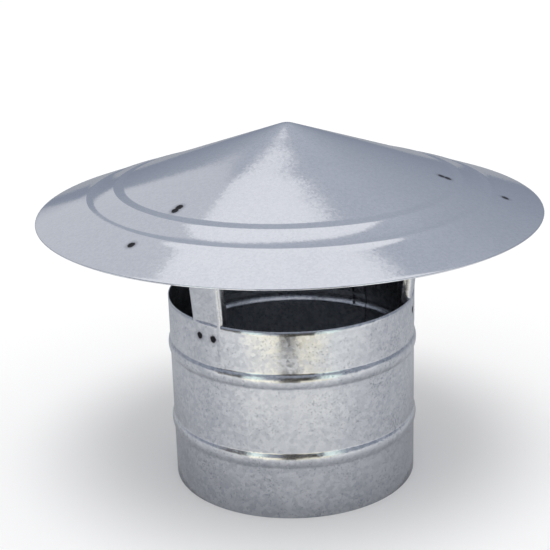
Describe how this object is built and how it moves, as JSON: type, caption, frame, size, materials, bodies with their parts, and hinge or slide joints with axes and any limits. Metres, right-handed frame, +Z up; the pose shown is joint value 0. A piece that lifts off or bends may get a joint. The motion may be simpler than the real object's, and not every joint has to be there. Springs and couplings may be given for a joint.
{
  "type": "chimney cap",
  "caption": "Round cone-shaped rain hood with pressed rings and a hemmed rim, carried by bent straps over a beaded flue collar.",
  "frame": {"origin": "on the cap's axis, at the bottom edge of the collar", "axes": "+Z up along the flue's axis, towards the hood's tip; the picture's viewer stands on the -Y side, with +X to the right"},
  "size_m": [0.3, 0.3, 0.2196],
  "materials": {
    "hood_steel": "smooth galvanised steel, semi-bright, pale blue-grey",
    "collar_steel": "galvanised steel with fine dark speckle and spangle, semi-bright",
    "strap_steel": "galvanised steel, satin grey"
  },
  "bodies": {
    "root": {"hood": "hood_steel", "collar": "collar_steel", "right_strap": "strap_steel", "front_left_strap": "strap_steel", "rear_strap": "strap_steel"}
  },
  "joints": []
}
